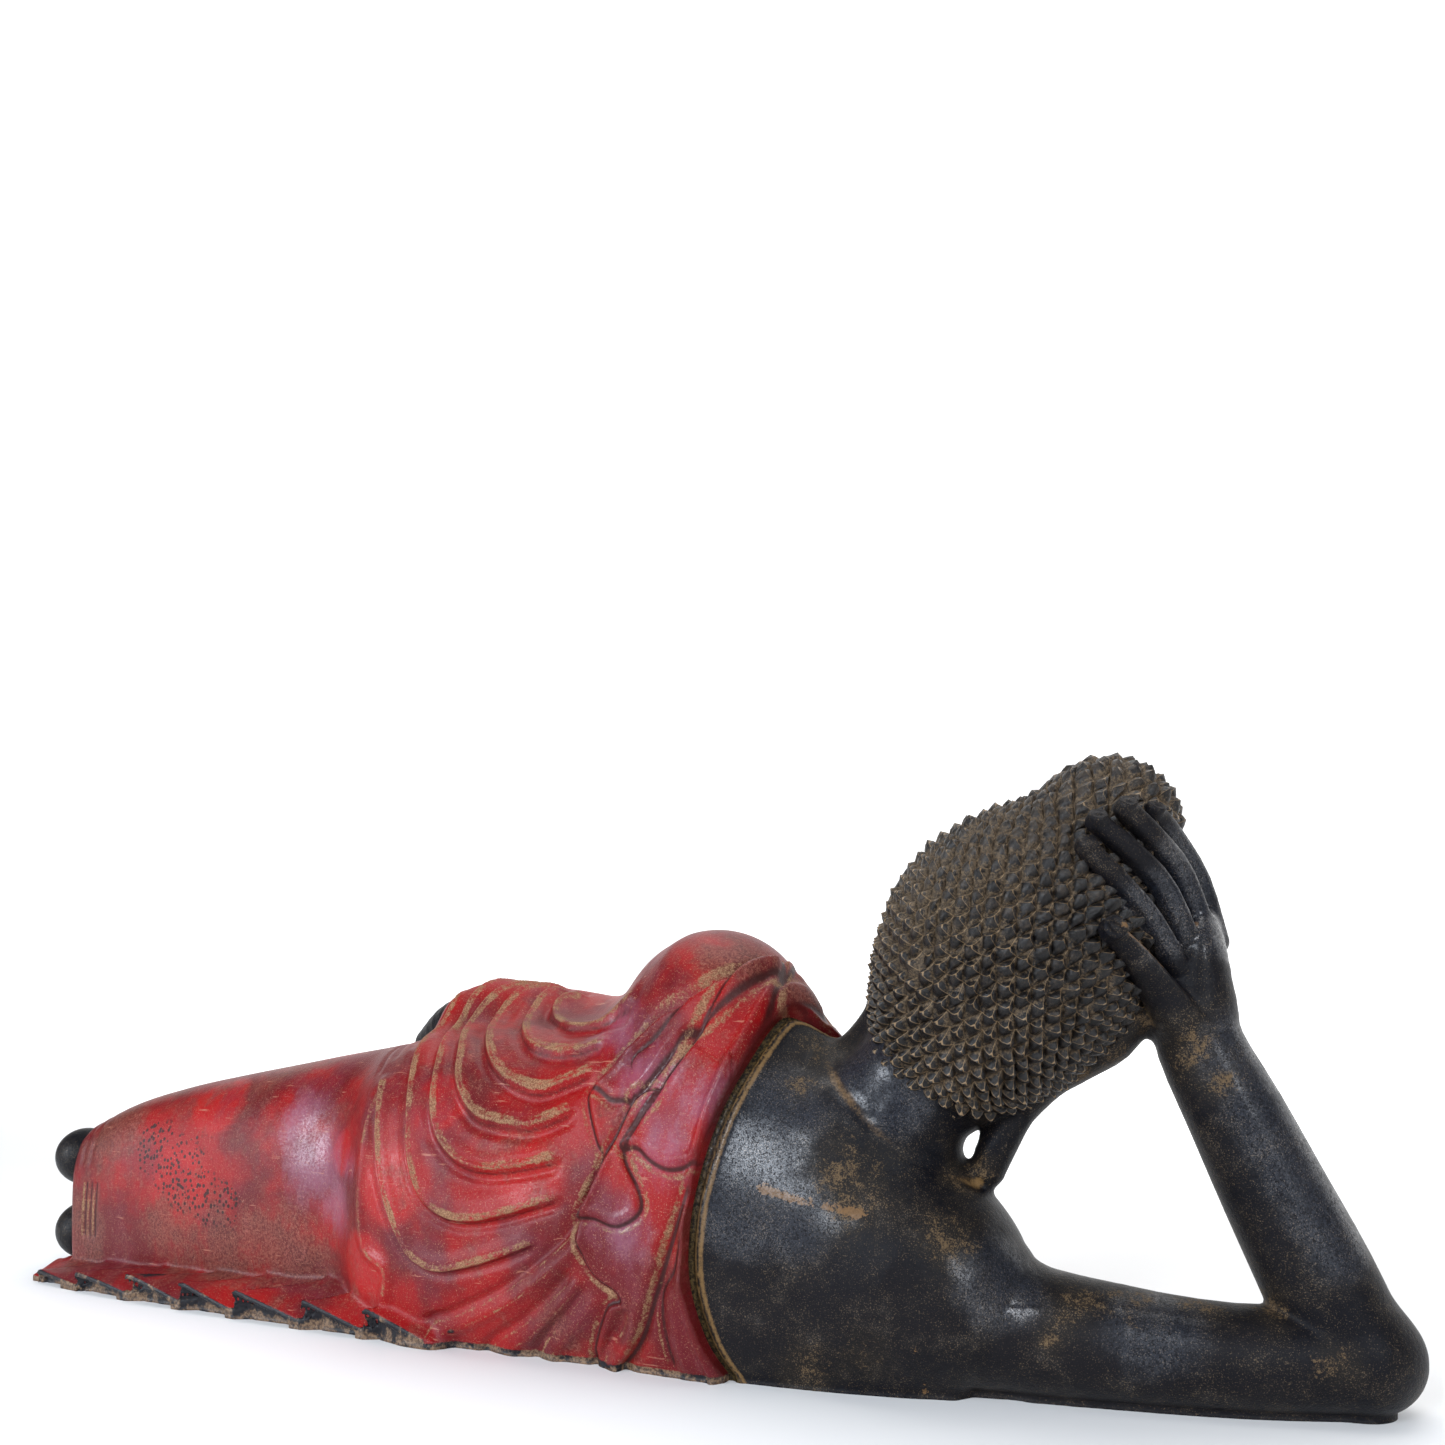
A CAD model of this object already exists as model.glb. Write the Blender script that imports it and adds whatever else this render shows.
import math

import bmesh
import bpy
import numpy as np
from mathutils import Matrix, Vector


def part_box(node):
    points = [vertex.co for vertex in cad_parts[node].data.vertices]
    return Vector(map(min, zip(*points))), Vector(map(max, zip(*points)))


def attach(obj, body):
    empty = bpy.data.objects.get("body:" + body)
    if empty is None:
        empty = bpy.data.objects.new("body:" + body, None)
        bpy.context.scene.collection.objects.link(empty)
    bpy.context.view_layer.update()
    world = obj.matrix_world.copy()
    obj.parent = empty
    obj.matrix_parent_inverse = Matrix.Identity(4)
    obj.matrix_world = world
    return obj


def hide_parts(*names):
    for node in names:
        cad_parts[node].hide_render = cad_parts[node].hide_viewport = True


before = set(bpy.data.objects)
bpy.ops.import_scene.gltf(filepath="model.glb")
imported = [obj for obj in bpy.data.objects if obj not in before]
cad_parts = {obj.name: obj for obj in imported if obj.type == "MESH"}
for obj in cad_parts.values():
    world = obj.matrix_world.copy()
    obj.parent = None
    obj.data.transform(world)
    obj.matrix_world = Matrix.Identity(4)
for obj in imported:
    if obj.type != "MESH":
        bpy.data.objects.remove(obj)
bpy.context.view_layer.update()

# The block
# The whole figure is carved from one block of hardwood. It lies on its right side, the head propped on
# the right hand and the left arm laid along the body. The forms below are the block as it was roughed out,
# before the robe and the bare skin were finished.
FIGURE_LENGTH = 1.26        # sole of the feet to the point of the right elbow, in metres
PARTS = 1260                # the proportions are laid out in parts of that length
PART = FIGURE_LENGTH / PARTS
MIDDLE = (-31.95, 107.7)    # middle of the block in the layout, in parts; the frame's origin is there


def point(*values):
    return np.array(values, float)


def ease(low, high, value):
    t = np.clip((value - low) / (high - low), 0, 1)
    return t * t * (3 - 2 * t)


def between(a, b, t):
    return a + (b - a) * t


def blend(a, b, reach):
    """Joins two forms with a soft fillet."""
    h = np.clip(0.5 + 0.5 * (b - a) / reach, 0, 1)
    return between(b, a, h) - reach * h * (1 - h)


def cut(a, b, reach):
    """Keeps what is inside both forms."""
    return -blend(-a, -b, reach)


def ball(p, centre, radii, axes=None):
    q = p - point(*centre)
    if axes is not None:
        q = q @ axes.T
    r = np.ones(3) * radii
    k = np.linalg.norm(q / r, axis=1)
    return k * (k - 1) / (np.linalg.norm(q / (r * r), axis=1) + 1e-9)


def spline(points, steps):
    """A smooth line through the given points."""
    rows = np.asarray(points, float)
    rows = np.vstack([2 * rows[0] - rows[1], rows, 2 * rows[-1] - rows[-2]])
    line = []
    for i in range(1, len(rows) - 2):
        a, b, c, d = rows[i - 1:i + 3]
        for t in np.linspace(0, 1, steps, endpoint=False):
            line.append(0.5 * (2 * b + (c - a) * t + (2 * a - 5 * b + 4 * c - d) * t * t
                               + (3 * b - a - 3 * c + d) * t ** 3))
    line.append(rows[-2])
    return np.array(line)


def limb(p, points, steps=3):
    """A round limb along a smooth line; each point is x, y, z and radius."""
    line = spline(points, steps)
    far = np.full(len(p), 1e9)
    for a, b in zip(line[:-1], line[1:]):
        along = b[:3] - a[:3]
        t = np.clip((p - a[:3]) @ along / (along @ along), 0, 1)
        gap = p - a[:3] - t[:, None] * along
        far = np.minimum(far, np.sqrt((gap * gap).sum(1)) - between(a[3], b[3], t))
    return far


def inside_box(p, low, high, form, margin=14):
    """The form near its box; farther off, the distance to the box."""
    gap = np.maximum(np.maximum(point(*low) - p, p - point(*high)), 0)
    far = np.sqrt((gap * gap).sum(1))
    near = far < margin
    if near.any():
        far[near] = form(p[near])
    return far


def curve_at(rows, value):
    """Smooth values between rows; each row is the place and what holds there."""
    table = np.asarray(rows, float)
    x = table[:, 0]
    slope = np.gradient(table[:, 1:], x, axis=0)
    value = np.clip(value, x[0], x[-1])
    i = np.clip(np.searchsorted(x, value) - 1, 0, len(x) - 2)
    h = x[i + 1] - x[i]
    t = (value - x[i]) / h
    a = (2 * t ** 3 - 3 * t ** 2 + 1)[:, None] * table[i, 1:]
    b = ((t ** 3 - 2 * t ** 2 + t) * h)[:, None] * slope[i]
    c = (3 * t ** 2 - 2 * t ** 3)[:, None] * table[i + 1, 1:]
    d = ((t ** 3 - t ** 2) * h)[:, None] * slope[i + 1]
    return (a + b + c + d).T


BODY = [
    (-612, 48, 168, 150, 4.0), (-560, 44, 176, 173, 3.4), (-500, 42, 184, 190, 3.0),
    (-430, 38, 192, 204, 2.8), (-362, 34, 198, 216, 2.7), (-300, 30, 204, 227, 2.6),
    (-245, 26, 208, 236, 2.5), (-205, 4, 212, 243, 2.5), (-180, -2, 214, 250, 2.4),
    (-120, -9, 214, 258, 2.4), (-60, -7, 210, 262, 2.4), (0, -4, 206, 266, 2.4),
    (60, -4, 204, 276, 2.3), (110, -3, 202, 264, 2.3), (160, 3, 196, 236, 2.2),
    (210, 14, 185, 204, 2.2), (260, 34, 170, 160, 2.2), (290, 50, 150, 118, 2.2),
]
BELOW_GROUND = 45           # the round of the body would close this far under the ground


def torso(p):
    """Legs, hips and trunk as one long rounded form."""
    back, front, top, square = curve_at(BODY, p[:, 0])
    y = p[:, 1] - (back + front) / 2
    z = p[:, 2] - (top - BELOW_GROUND) / 2
    wide, high = (front - back) / 2, (top + BELOW_GROUND) / 2
    share = ((np.abs(y) / wide) ** square + (np.abs(z) / high) ** square) ** (1 / square) + 1e-6
    side = np.where(share < 0.3, -0.7 * np.minimum(wide, high), np.hypot(y, z) * (1 - 1 / share))
    ends = np.maximum(BODY[0][0] - p[:, 0], p[:, 0] - BODY[-1][0])
    return cut(side, ends, 9)


def left_arm(p):
    """Lies along the top of the body, under the robe."""
    return limb(p, [(86, 112, 266, 60), (40, 128, 257, 45), (-20, 140, 242, 40),
                    (-80, 140, 249, 40), (-150, 134, 262, 33), (-174, 132, 260, 29)])


def shoulders(p):
    return limb(p, [(82, 108, 268, 61), (250, 88, 86, 75)], 1)


def trunk(p):
    body = blend(torso(p), inside_box(p, (-220, 50, 200), (150, 180, 335), left_arm, 32), 30)
    return blend(body, inside_box(p, (20, 10, 0), (330, 172, 335), shoulders, 42), 40)


# A form becomes a surface in two steps: its values on a grid, then a point in every cell it passes through.
COARSE = 4                  # the grid is first looked over in blocks of this many cells
AT_ONCE = 200000            # places worked out at a time
NUDGE = 0.4                 # a form's slope is read over this many parts
MOST_SETTLING = 2.0         # and a point moves this far at most
SMALLEST_SHELL = 2000       # six times the smallest volume kept, in cubic parts
NEAR = 1.25                 # blocks this near the surface, in their own widths, are worked out
JUST_INSIDE = -0.05         # depth given to a filled corner, in cells


def lattice(*counts):
    """Every place of a grid, in steps from its corner."""
    return np.stack(np.meshgrid(*map(np.arange, counts), indexing="ij"), -1).reshape(-1, len(counts))


def sample_near(form, low, high, cell):
    """The form's values on a grid, exact only in the blocks near its surface."""
    big = cell * COARSE
    count = np.ceil((point(*high) - low) / big).astype(int)
    blocks = lattice(*count)
    values = form(low + (blocks + 0.5) * big)
    grid = np.full(count * COARSE + 1, big, float)
    rough = np.where(values < 0, -big, big).reshape(count)
    grid[:-1, :-1, :-1] = rough.repeat(COARSE, 0).repeat(COARSE, 1).repeat(COARSE, 2)
    blocks = blocks[np.abs(values) < NEAR * big] * COARSE
    wanted = np.zeros(grid.shape, bool)
    wanted[tuple((blocks[:, None] + lattice(*[COARSE + 1] * 3)[None]).reshape(-1, 3).T)] = True
    index = np.stack(np.nonzero(wanted), -1)
    parts = [form(low + part * cell) for part in np.array_split(index, 1 + len(index) // AT_ONCE)]
    grid[tuple(index.T)] = np.concatenate(parts)
    return grid


def join_corners(grid, cell):
    """Fills places where the form would only touch itself along an edge or at a corner."""
    ends = [slice(None, -1), slice(1, None)]
    for _ in range(12):
        inside = grid < 0
        fill = np.zeros(grid.shape, bool)
        for axis in range(3):
            flat = np.moveaxis(inside, axis, 0)
            marks = np.moveaxis(fill, axis, 0)
            a, b, c, d = flat[:, :-1, :-1], flat[:, 1:, :-1], flat[:, 1:, 1:], flat[:, :-1, 1:]
            crossed = (a == c) & (b == d) & (a != b)
            for rows, columns in np.ndindex(2, 2):
                marks[:, ends[rows], ends[columns]] |= crossed
        corners = {c: inside[tuple(ends[k] for k in c)] for c in np.ndindex(2, 2, 2)}
        count = sum(part.astype(np.int8) for part in corners.values())
        for c in list(corners)[:4]:
            one, other = corners[c], corners[tuple(1 - k for k in c)]
            pair = (one & other & (count == 2)) | (~one & ~other & (count == 6))
            for corner in corners:
                fill[tuple(ends[k] for k in corner)] |= pair
        fill &= ~inside
        if not fill.any():
            return
        grid[fill] = JUST_INSIDE * cell


def net(grid, low, cell):
    """The points and the four-sided faces of the surface."""
    join_corners(grid, cell)
    inside = grid < 0
    shape = np.array(grid.shape)
    cells, crossings, faces = [], [], []
    for axis in range(3):
        edges = np.stack(np.nonzero(np.diff(inside, axis=axis)), -1)
        others = [k for k in range(3) if k != axis]
        edges = edges[((edges[:, others] > 0) & (edges[:, others] < shape[others] - 1)).all(1)]
        a, b = grid[tuple(edges.T)], grid[tuple((edges + np.eye(3, dtype=int)[axis]).T)]
        place = edges.astype(float)
        place[:, axis] += a / (a - b)
        corners = []
        for shift in ((-1, -1), (0, -1), (0, 0), (-1, 0)):
            corner = edges.copy()
            corner[:, others] += shift
            corners.append(np.ravel_multi_index(corner.T, shape - 1))
        cells += corners
        crossings += [place] * 4
        quads = np.stack(corners, -1)
        turned = (a > 0) ^ (axis == 1)
        quads[turned] = quads[turned][:, ::-1]
        faces.append(quads)
    cells = np.concatenate(cells)
    crossings = np.concatenate(crossings)
    used, place = np.unique(cells, return_inverse=True)
    count = np.bincount(place)
    points = np.stack([np.bincount(place, crossings[:, k]) / count for k in range(3)], -1)
    return point(*low) + points * cell, np.searchsorted(used, np.concatenate(faces))


def settle(form, points):
    """Moves the points onto the form."""
    steps = NUDGE * np.eye(3)
    slope = np.stack([form(points + step) - form(points - step) for step in steps], -1) / (2 * NUDGE)
    move = -(form(points) / ((slope * slope).sum(1) + 1e-6))[:, None] * slope
    length = np.linalg.norm(move, axis=1)
    return points + move * np.minimum(1, MOST_SETTLING / (length + 1e-9))[:, None]


GROUND_FLAT = 5             # from here down to the ground the carving stays the same


def on_ground(p):
    return np.column_stack([p[:, 0], p[:, 1], np.maximum(p[:, 2], GROUND_FLAT)])


def shells(count, faces):
    """A number for every point, the same all over one closed shell."""
    label = np.arange(count)
    while True:
        lowest = label.copy()
        np.minimum.at(lowest, faces, label[faces].min(1)[:, None].repeat(faces.shape[1], 1))
        lowest = lowest[lowest]
        if (lowest == label).all():
            return label
        label = lowest


def outer_shells(points, faces):
    """Leaves out closed pockets inside the wood, which turn inwards, and specks."""
    label = shells(len(points), faces)
    a, b, c, d = (points[faces[:, k]] for k in range(4))
    volume = (np.cross(a, b) * c).sum(1) + (np.cross(a, c) * d).sum(1)
    total = np.bincount(label[faces[:, 0]], volume, len(points))
    faces = faces[total[label[faces[:, 0]]] > SMALLEST_SHELL]
    used, faces = np.unique(faces, return_inverse=True)
    return points[used], faces.reshape(-1, 4)


def add(name, data):
    """Puts a new object into the scene."""
    thing = bpy.data.objects.new(name, data)
    bpy.context.scene.collection.objects.link(thing)
    return thing


def in_layout(piece):
    """Where a piece's points lie in the layout."""
    places = np.empty(len(piece.data.vertices) * 3, np.float32)
    piece.data.vertices.foreach_get("co", places)
    return places.reshape(-1, 3) / PART + point(*MIDDLE, 0)


def new_piece(name, points, faces):
    """From the layout in parts to the frame in metres, and nowhere past the CAD's box."""
    low, high = (np.array(corner[:]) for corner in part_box("reclining_figure"))
    places = np.clip((points - point(*MIDDLE, 0)) * PART, low, high)
    mesh = bpy.data.meshes.new(name)
    mesh.from_pydata(places.tolist(), [], faces.tolist())
    mesh.update()
    return add(name, mesh)


def saw_level(piece):
    """Cuts a piece off flat at the ground and closes it."""
    shape = bmesh.new()
    shape.from_mesh(piece.data)
    bmesh.ops.bisect_plane(shape, geom=shape.verts[:] + shape.edges[:] + shape.faces[:],
                           plane_co=(0, 0, 0), plane_no=(0, 0, 1), clear_inner=True)
    rim = [e for e in shape.edges if e.is_boundary]
    bmesh.ops.triangle_fill(shape, edges=rim, use_beauty=True, normal=(0, 0, -1))
    shape.to_mesh(piece.data)
    shape.free()


MOST_TRIANGLES = 190000
FINE_CELL = 1.9


def carve(name, form, low, high):
    """Makes a piece from a form, with fine triangles where it is richly carved."""
    points, faces = net(sample_near(form, low, high, FINE_CELL), low, FINE_CELL)
    points, faces = outer_shells(settle(form, points), faces)
    piece = new_piece(name, points, faces)
    saw_level(piece)
    piece.data.shade_smooth()
    count = sum(len(f.vertices) - 2 for f in piece.data.polygons)
    if count > MOST_TRIANGLES:
        thinner = piece.modifiers.new("thinner", "DECIMATE")
        thinner.ratio = MOST_TRIANGLES / count
        with bpy.context.temp_override(object=piece, active_object=piece, selected_objects=[piece]):
            bpy.ops.object.modifier_apply(modifier=thinner.name)
    return piece


def mark(piece, **marks):
    """Keeps values at every point of a piece for its finish to read."""
    for name, values in marks.items():
        layer = piece.data.attributes.new(name, "FLOAT", "POINT")
        layer.data.foreach_set("value", np.clip(values, 0, 1).astype(np.float32))


class Finish:
    """An output of a material's nodes that sums and products can be written with."""

    def __init__(self, tree, output=None):
        self.tree, self.output = tree, output

    def node(self, kind, inputs=None, output=0, **settings):
        """Adds a node of a type, with its settings and what goes into its sockets."""
        node = self.tree.nodes.new(kind)
        for name, value in settings.items():
            setattr(node, name, value)
        feed(node, inputs or {})
        return Finish(self.tree, node.outputs[output])

    def math(self, operation, first, second):
        return self.node("ShaderNodeMath", {0: first, 1: second}, operation=operation)

    def __add__(self, other):
        return self.math("ADD", self, other)

    def __sub__(self, other):
        return self.math("SUBTRACT", self, other)

    def __mul__(self, other):
        return self.math("MULTIPLY", self, other)

    def __rsub__(self, other):
        return self.math("SUBTRACT", other, self)

    __radd__ = __add__
    __rmul__ = __mul__

    def most(self, other):
        return self.math("MAXIMUM", self, other)

    def steps(self, low, high):
        """Rises smoothly from 0 at low to 1 at high."""
        return self.node("ShaderNodeMapRange", {"Value": self, "From Min": low, "From Max": high},
                         interpolation_type="SMOOTHSTEP")

    def value(self, name):
        """A value that mark() kept on the piece."""
        return self.node("ShaderNodeAttribute", output=2, attribute_name=name)

    def place(self):
        return self.node("ShaderNodeTexCoord", output=3)

    def noise(self, scale, detail, rough=0.55, stretch=(1, 1, 1)):
        """Cloudy noise, scale in waves to a metre."""
        place = self.node("ShaderNodeMapping", {"Vector": self.place(), "Scale": stretch})
        return self.node("ShaderNodeTexNoise", {"Vector": place, "Scale": scale, "Detail": detail,
                                                "Roughness": rough})

    def cells(self, scale):
        """Distance to the nearest of scattered spots."""
        return self.node("ShaderNodeTexVoronoi", {"Vector": self.place(), "Scale": scale})

    def over(self, share, under, top):
        """A colour with another laid over it by a share."""
        return self.node("ShaderNodeMix", {0: share, 6: under, 7: top}, 2, data_type="RGBA")


def colour(red, green, blue):
    """A colour read as shares of 255 on a screen, as light."""
    shares = [part / 255 for part in (red, green, blue)]
    return (*[s / 12.92 if s < 0.0404 else ((s + 0.055) / 1.055) ** 2.4 for s in shares], 1)


def new_finish(name):
    material = bpy.data.materials.new(name)
    material.use_nodes = True
    return material, Finish(material.node_tree), material.node_tree.nodes["Principled BSDF"]


def feed(node, inputs):
    """Links outputs to a node's sockets, or sets their constants."""
    for socket, value in inputs.items():
        if isinstance(value, Finish):
            value.tree.links.new(value.output, node.inputs[socket])
        else:
            node.inputs[socket].default_value = value


UNEVENNESS = 0.0012         # from the lacquer's lowest to its highest


def uneven(height, strength):
    """The lacquer's fine unevenness, as a normal."""
    return height.node("ShaderNodeBump", {"Strength": strength, "Distance": UNEVENNESS, "Height": height})


# The robe
# The monk's robe is carved in the block about 5 mm proud of the skin, in overlapping folds that spread
# over the hip and fall from the left shoulder; behind the legs it lies on the ground in a rippled hem.
# It is lacquered red over black, and worn: ochre dust keeps to the crests, black to the hollows.
ROBE_THICKNESS = 0.005
FOLD_DEPTH = 0.007
HEM_HEIGHT = 0.028

GROUND_CLOTH = [
    (-640, 16, 18), (-580, 6, 22), (-510, -1, 24), (-430, -5, 27), (-350, -8, 32),
    (-290, -9, 38), (-230, -10, 46), (-170, -10, 54), (-110, -10, 58),
]
SCALLOP, FIRST_TIP = 73, -487   # from one fold's tip to the next along the hem, and where one is
SLANT = 2.0                 # a fold runs this far along the body for each part inwards
HEM_HOLLOW = 9              # depth of the hollow under a fold's tip
TIPS_BY_THE_HIP = -113, -43


def hem(x, y):
    """The hem's line at each place, the foot of the legs, how far the fold stands up and its rim."""
    edge, inner = curve_at(GROUND_CLOTH, x)
    share = ((x - FIRST_TIP - SLANT * (y - edge) + 3 * np.sin(x / 31)) / SCALLOP) % 1
    lift = ease(0, 0.10, share) * (1 - share)
    rim = HEM_HEIGHT / PART * between(0.5, 1, ease(-640, -450, x)) * (0.3 + 0.75 * lift)
    return edge, inner, lift, rim


def ground_cloth(p):
    """A low sheet in slanting folds, each raised to a tip at the edge and falling to the next."""
    x, y, z = p.T
    edge, inner, lift, rim = hem(x, y)
    top = between(rim, inner, ease(0, 52, y - edge)) + 0.5 * np.sin(x / 9 - y / 5) * ease(0, 9, y - edge)
    fade = 1 - ease(-190, -140, x)
    hollow = HEM_HOLLOW * ease(0.05, 0.5, lift) * (1 - ease(rim - 7, rim - 4, z))
    rough = np.sin(x / 5.3 + z / 2.9) * np.sin(x / 8.9 - z / 4.1) * (1 - ease(rim - 6, rim - 2, z))
    out = edge + (2 * (1 - lift) + hollow + 0.7 * rough) * fade - y
    form = cut(out, z - top, 2)
    form = cut(form, -638 - x, 4)
    form = cut(form, y - 196, 8)
    return cut(form, x + 108, 20)


GROUND_CLOTH_BOX = (-642, -14, -20), (-100, 200, 62)


def hollows_by_the_hip(p):
    """Small hollows under the last folds, where the robe meets the ground."""
    return np.minimum.reduce([ball(p, (tip + 10, -14, 4), (13, 13, 20)) for tip in TIPS_BY_THE_HIP])


BACK_EDGE = [(-12, 142), (8, 131), (24, 123), (47, 116), (80, 110), (115, 111), (166, 120),
             (194, 127), (218, 135), (242, 144), (265, 153), (280, 161), (292, 168)]
CHEST_EDGE = [(-12, 88), (60, 104), (120, 136), (200, 176), (250, 190), (292, 196)]


def past_edge(p):
    """How far a place lies beyond the robe's edge, towards the neck."""
    back = curve_at(BACK_EDGE, p[:, 2])[0]
    chest = curve_at(CHEST_EDGE, p[:, 2])[0]
    return p[:, 0] - between(back, chest, ease(70, 120, p[:, 1]))


# The folds are drawn on a sheet wrapped round the body: x in parts, and the turn in degrees from level
# at the back (0) over the top (90) to the front (180). One sheet holds the relief, one the dust on it
# and one the dark of its hollows.
AXIS_Y, AXIS_Z = 105, 85
GIRTH = 2.2                 # parts of cloth to one degree
SHEET_X, SHEET_TURN = (-660, 230), (-60, 240)
SHEET_CELL = 1.2
FOLD = FOLD_DEPTH / PART


def turn_of(p):
    turn = np.degrees(np.arctan2(p[:, 2] - AXIS_Z, AXIS_Y - p[:, 1]))
    return np.where(turn < -90, turn + 360, turn)


SHEET_SIZE = [int((SHEET_X[1] - SHEET_X[0]) / SHEET_CELL) + 1,
              int((SHEET_TURN[1] - SHEET_TURN[0]) * GIRTH / SHEET_CELL) + 1]
SHEET = point(SHEET_X[0], SHEET_TURN[0] * GIRTH) + SHEET_CELL * lattice(*SHEET_SIZE).reshape(*SHEET_SIZE, 2)
RELIEF, DUST, DARK = np.zeros((3, *SHEET_SIZE))


def near_line(line, reach):
    """The part of the sheet that a line's profile reaches."""
    reach = reach + SHEET_CELL
    return ((SHEET > line.min(0) - reach) & (SHEET <= line.max(0) + reach)).all(2)


def to_cloth(points, steps=5):
    return spline(points, steps) * point(1, GIRTH)


def beside(line, places):
    """Distance from the line (positive on its right) and the place along it."""
    best = np.full(len(places), 1e9)
    side = np.ones(len(places))
    along = np.zeros(len(places))
    run = 0.0
    for a, b in zip(line[:-1], line[1:]):
        step = b - a
        length = math.hypot(*step)
        t = np.clip((places - a) @ step / (length * length), 0, 1)
        gap = places - a - t[:, None] * step
        far = np.hypot(gap[:, 0], gap[:, 1])
        near = far < best
        best[near] = far[near]
        side[near] = np.where(step[1] * gap[near, 0] - step[0] * gap[near, 1] < 0, -1, 1)
        along[near] = run + t[near] * length
        run += length
    return best * side, along, run


def draw(points, reach, relief, dust=None, dark=None, fade=14):
    """Draws profiles along a line, fading at its ends: relief adds up, dust and dark take the most."""
    line = to_cloth(points)
    near = near_line(line, reach)
    away, along, length = beside(line, SHEET[near])
    strength = ease(0, fade, along) * ease(0, fade, length - along) * (np.abs(away) < reach)
    RELIEF[near] += relief(away) * strength
    for sheet, profile in ((DUST, dust), (DARK, dark)):
        if profile is not None:
            sheet[near] = np.maximum(sheet[near], profile(away) * strength)


def bell(middle, width, height=1.0):
    return lambda s: height * np.exp(-((s - middle) / width) ** 2)


def pleat(width, depth=FOLD):
    """Rises gently to a scooped channel and a thin lip, then drops into a groove on its right."""
    def profile(s):
        crest = ease(-width, -1.0, s) ** 1.4 * (1 - ease(-1.0, 2.6, s))
        lip = bell(-1.0, 1.2, 0.10)(s) - bell(-5.0, 2.6, 0.10)(s)
        return depth * (0.62 * crest + lip - bell(4.6, 4.2, 0.40)(s))
    return profile


def groove(width, depth=0.5 * FOLD):
    return bell(0, width, -depth)


def ridge(width, depth=0.5 * FOLD):
    return bell(0, width, depth)


def pleat_dust(s):
    return bell(-4.2, 2.6, 0.8)(s) + bell(-0.8, 0.9)(s)


LAYER_REACH = 14            # how far round a layer its rim is drawn
RIM = 1.2                   # height of a layer's rolled rim, and depth of the groove beside it


def layer(outline, height):
    """Raises a closed area of cloth, with a rolled rim and a dark, dusty groove just outside."""
    line = to_cloth(outline + outline[:1], 4)
    near = near_line(line, LAYER_REACH)
    x, w = SHEET[near].T
    inside = np.zeros(len(x), bool)
    for a, b in zip(line[:-1], line[1:]):
        spans = (a[1] > w) != (b[1] > w)
        inside ^= spans & (x < a[0] + (w - a[1]) * (b[0] - a[0]) / (b[1] - a[1] + 1e-9))
    away = np.abs(beside(line, SHEET[near])[0])
    s = np.where(inside, -away, away)
    rise = height * (1 - ease(-1.2, 1.6, s))
    RELIEF[near] += rise + (bell(-3.5, 3, RIM)(s) - bell(3.4, 2.2, RIM)(s))
    DARK[near] = np.maximum(DARK[near], bell(1.6, 1.5)(s))
    DUST[near] = np.maximum(DUST[near], bell(6.0, 3.0, 0.7)(s))


HIP_FOLDS = [
    [(-45, 95), (-68, 93), (-67, 86), (-36, 76), (-12, 74), (17, 75), (44, 73)],
    [(-66, 97), (-90, 93), (-84, 80), (-57, 68), (-32, 64), (-5, 64), (26, 67)],
    [(-80, 101), (-113, 94), (-120, 82), (-92, 65), (-68, 57), (-40, 53), (-17, 53), (26, 59)],
    [(-95, 106), (-134, 93), (-146, 82), (-120, 64), (-105, 53), (-81, 45), (-57, 43), (-25, 43),
     (15, 49)],
    [(-120, 108), (-158, 92), (-158, 79), (-137, 60), (-126, 47), (-113, 38), (-90, 31), (-62, 29),
     (-31, 31), (6, 35)],
    [(-180, 96), (-182, 78), (-160, 56), (-150, 45), (-141, 32), (-129, 21), (-111, 14), (-85, 11),
     (-49, 14), (8, 23)],
    [(-196, 60), (-180, 36), (-164, 16), (-149, 3), (-135, -5), (-112, -9), (-86, -7), (-53, -2),
     (-14, 6)],
]
FALLING_GROOVES = [
    [(21, 18), (5, 8), (-26, -5), (-55, -15), (-102, -26), (-127, -31), (-140, -44)],
    [(17, -2), (-6, -14), (-35, -26), (-70, -37), (-84, -46)],
    [(29, -7), (7, -20), (-21, -34), (-32, -43), (-31, -48)],
    [(60, -14), (52, -24), (30, -38), (18, -47)],
]


def draw_hip_folds():
    for i, line in enumerate(HIP_FOLDS):
        draw(line, 30, pleat(15 + i), pleat_dust, bell(1.6, 0.9, 0.7))
    for line in FALLING_GROOVES:
        draw(line, 24, groove(4.5), bell(-5, 1.4, 0.7), bell(0, 2, 0.5))
        raised = [(x + 9, turn - 5) for x, turn in line]
        draw(raised, 24, ridge(6), bell(0, 1.2, 0.7))
    draw([(-195, 62), (-197, 23), (-191, -4), (-166, -14), (-190, -40)], 20, ridge(7), bell(0, 4, 0.5))


SHAWL_LEFT = [(150, 92), (144, 85), (125, 77), (100, 71), (70, 67), (49, 63), (35, 57), (25, 54)]
SMALL_TONGUE = [(25, 54), (33, 53), (43, 51), (54, 51), (64, 52)]
STRIP_LEFT = [(92, 65), (75, 57), (63, 51), (53, 42), (42, 34), (23, 19)]
STRIP_RIGHT = [(115, 69), (93, 59), (82, 53), (70, 46), (60, 39)]
LARGE_TONGUE = [(61, 39), (72, 39), (83, 36), (98, 34), (116, 36), (124, 39)]
CURLED_TONGUE = [(58, 37), (62, 33), (73, 26), (74, 20), (56, 15), (37, 17), (22, 17)]
LOW_TONGUE = [(22, 15), (25, 4), (36, -5), (53, -10), (56, -15), (42, -20)]
UNDER_EDGE = [(22, 52), (27, 47), (36, 40), (41, 35)]
LONG_GROOVE = [(117, 33), (104, 16), (89, -6), (69, -30), (38, -47)]
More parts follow.
